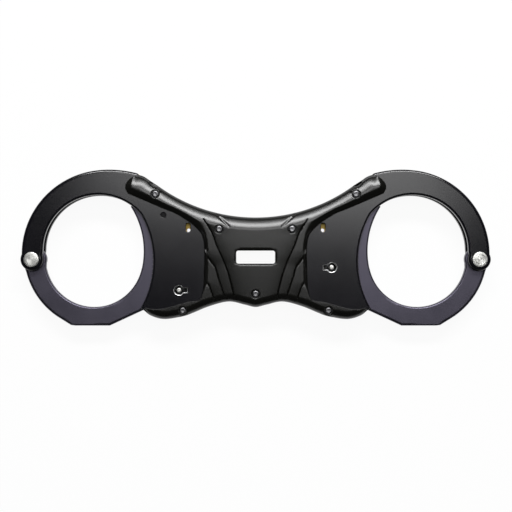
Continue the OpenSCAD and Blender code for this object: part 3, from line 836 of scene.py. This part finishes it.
def turned_steel(name, dark, light, rough):
    """Turned metal: fine rings about the rivet's axis, so the head shows the lathe's fan of light. The
    ring height is the sine of the distance from the axis, taken on one side of the middle for both
    cuffs. The real rings are about 0.1 mm apart, and are drawn wider so that they show."""
    ring_pitch, ring_depth = 0.35 * MM, 0.008 * MM
    mat = finish(name, dark, light, rough, spread=0.05, patch=2.2, grain=0.8, depth=0.004, Metallic=1.0)
    tree = mat.node_tree
    found = {node.type: node for node in tree.nodes}
    side = add(tree, "VectorMath", {0: found["TEX_COORD"].outputs["Object"]}, operation="ABSOLUTE")
    flat = add(tree, "VectorMath", {0: side.outputs[0], 1: (1, 1, 0)}, operation="MULTIPLY")
    axis = (-PIVOT[0] * MM, -PIVOT[1] * MM, 0)
    away = add(tree, "VectorMath", {0: flat.outputs[0], 1: axis}, operation="DISTANCE")
    turns = add(tree, "Math", {0: away.outputs["Value"], 1: 2 * math.pi / ring_pitch},
                operation="MULTIPLY")
    ring = add(tree, "Math", {0: turns.outputs[0]}, operation="SINE")
    rings = add(tree, "Bump", {"Height": ring.outputs[0], "Distance": ring_depth,
                               "Normal": found["BUMP"].outputs[0]})
    tree.links.new(rings.outputs[0], found["BSDF_PRINCIPLED"].inputs["Normal"])
    return mat


def make_materials():
    """One finish for each slot, one for the pawl pins, and the bare metal inside the keyways. The real
    grain of all of them is 0.05 to 0.2 mm wide, and is drawn 0.6 to 1 mm wide so that it shows."""
    return {
        # Glass-filled nylon from a spark-eroded mould: near black, with a soft sheen and a fine pebble
        "grip_polymer": finish("moulded_nylon", "#0c0c0a", "#11110f",
                               rough=0.25, spread=0.01, patch=24, grain=0.7, depth=0.0015),
        # Hard-anodised aluminium: near black with a faint violet cast, and an even satin
        "black_anodised": finish("anodised_aluminium", "#08080c", "#0d0c12",
                                 rough=0.18, spread=0.01, patch=18, grain=0.7, depth=0.001),
        # Oxide-blacked steel: dark grey with a metal's own sheen, in faint cloudy patches
        "black_steel": finish("blackened_steel", "#504e59", "#5b5864",
                              rough=0.4, spread=0.03, patch=12, grain=0.9, depth=0.006, Metallic=1.0),
        # Turned stainless steel: bright, with soft grey mottling from the lathe and from handling
        "bright_steel": turned_steel("turned_stainless", "#d2d2ce", "#f4f4f0", 0.34),
        # Ground tool steel: mid grey, with the grinding lines lengthwise
        "pawl_steel": finish("ground_steel", "#7b7b7c", "#8e8e8e", rough=0.3, spread=0.05,
                             patch=4, grain=0.7, depth=0.01, stretch=(0.1, 1, 1), Metallic=1.0),
        # Blued spring strip: dark straw to blue-grey
        "spring_steel": finish("spring_strip", "#4b4a50", "#6a6660",
                               rough=0.28, spread=0.04, patch=5, grain=0.8, depth=0.004, Metallic=1.0),
        # Oxide-blacked cap screws: mid grey, with a worn crown
        "black_screw_steel": finish("blacked_screw_steel", "#565658", "#8c8c8e", rough=0.32,
                                    spread=0.06, patch=1.4, grain=0.7, depth=0.01, Metallic=1.0),
        # The pawl pin's end, blacked with the plate: dull and nearly black
        "black_pin": finish("blacked_pin", "#0a0a0c", "#121214", rough=0.6, spread=0.04,
                            patch=1.2, grain=0.7, depth=0.01, **{"Specular IOR Level": 0.15}),
        # Machined brass: warm yellow with a soft shine
        "insert_brass": finish("machined_brass", "#a98a45", "#c2a35a",
                               rough=0.3, spread=0.04, patch=4, grain=0.6, depth=0.006, Metallic=1.0),
        # Acetal moulding: honey yellow, a little waxy
        "amber_polymer": finish("amber_acetal", "#ecc022", "#f7cf36",
                                rough=0.42, spread=0.03, patch=5, grain=1.0, depth=0.004),
        # Sawn and machined aluminium plate: pale grey, with the cutter's lines lengthwise
        "core_aluminium": finish("machined_aluminium", "#8f9092", "#a3a4a6", rough=0.34, spread=0.05,
                                 patch=6, grain=0.7, depth=0.01, stretch=(0.15, 1, 1), Metallic=1.0),
        # Milled keyway wall: the anodising is cut away and the bright metal shows
        "bare_metal": finish("milled_bare_metal", "#b9babb", "#d2d2d2",
                             rough=0.3, spread=0.04, patch=3, grain=0.6, depth=0.006, Metallic=1.0)}


def dress(pieces, finishes):
    """Gives each new piece and each CAD node left showing the finish of its slot. The pawl pins are
    blacked with their plates, so they have a finish of their own."""
    hidden = set()
    for obj in pieces:
        obj.data.materials.append(finishes[obj["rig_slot"]])
        obj.data.materials.append(finishes["bare_metal"])
        hidden.update(obj["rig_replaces"])
    for part in frame["record"]["subparts"]:
        if part["node"] not in hidden:
            node = frame["nodes"][part["node"]]
            node.data.materials.clear()
            own = "black_pin" if part["node"].endswith("pawl_pin") else part["material_slot"]
            node.data.materials.append(finishes[own])


# ---- floor, lights and camera, in metres and watts ----
def make_floor():
    """Pale table top. It glows a little under white where it is seen directly, in a reflection or through
    glass, and is a matt surface to all other light, so that it keeps the object's shadow."""
    half_width, glow_share, matt_white = 12, 0.94, 0.93
    mesh = bpy.data.meshes.new("floor")
    corners = [(x * half_width, y * half_width, 0) for x, y in ((-1, -1), (1, -1), (1, 1), (-1, 1))]
    mesh.from_pydata(corners, [], [(0, 1, 2, 3)])
    obj = bpy.data.objects.new("floor", mesh)
    bpy.context.scene.collection.objects.link(obj)
    mat = bpy.data.materials.new("pale_table")
    mat.use_nodes = True
    tree = mat.node_tree
    tree.nodes.clear()
    rays = add(tree, "LightPath").outputs
    seen = add(tree, "Math", {0: rays["Is Camera Ray"], 1: rays["Is Glossy Ray"]}, operation="MAXIMUM")
    shown = add(tree, "Math", {0: seen.outputs[0], 1: rays["Is Transmission Ray"]}, operation="MAXIMUM")
    share = add(tree, "Math", {0: shown.outputs[0], 1: glow_share}, operation="MULTIPLY")
    matt = add(tree, "BsdfDiffuse", {"Color": (matt_white, matt_white, matt_white, 1)})
    white = add(tree, "Emission", {"Strength": 1.0})
    mixed = add(tree, "MixShader", {0: share.outputs[0], 1: matt.outputs[0], 2: white.outputs[0]})
    add(tree, "OutputMaterial", {"Surface": mixed.outputs[0]})
    mesh.materials.append(mat)


def softbox(name, at, aim, size, watts):
    """Rectangular lamp at a place, turned to face another."""
    lamp = bpy.data.lights.new(name, "AREA")
    lamp.shape = "RECTANGLE"
    lamp.size, lamp.size_y = size
    lamp.energy = watts
    obj = bpy.data.objects.new(name, lamp)
    obj.location = at
    obj.rotation_euler = (Vector(aim) - Vector(at)).to_track_quat("-Z", "Y").to_euler()
    bpy.context.scene.collection.objects.link(obj)


def make_studio():
    """A long key light from beyond the top edge and a broad soft one overhead."""
    softbox("key_softbox", (0.06, 0.88, 0.92), (0, 0, 0), (1.1, 0.22), 18)
    softbox("overhead_softbox", (0.05, 0.34, 1.25), (0.03, 0.1, 0), (0.6, 0.56), 4.4)
    world = bpy.data.worlds.new("dim_room")
    world.use_nodes = True
    tree = world.node_tree
    tree.nodes.clear()
    glow = add(tree, "Background", {"Color": (1, 1, 1, 1), "Strength": 0.03})
    add(tree, "OutputWorld", {"Surface": glow.outputs[0]})
    bpy.context.scene.world = world


def make_camera():
    """Looks straight down, with the object across the middle of a square picture."""
    camera = bpy.data.cameras.new("camera")
    camera.lens_unit = "FOV"
    camera.angle = math.radians(24.72)
    obj = bpy.data.objects.new("camera", camera)
    obj.location = (0.0002, -0.0045, 0.654)
    bpy.context.scene.collection.objects.link(obj)
    bpy.context.scene.camera = obj
    bpy.context.scene.view_settings.view_transform = "Standard"


dress(make_cuffs() + make_covers() + [make_screws(), make_inserts()], make_materials())
make_floor()
make_studio()
make_camera()
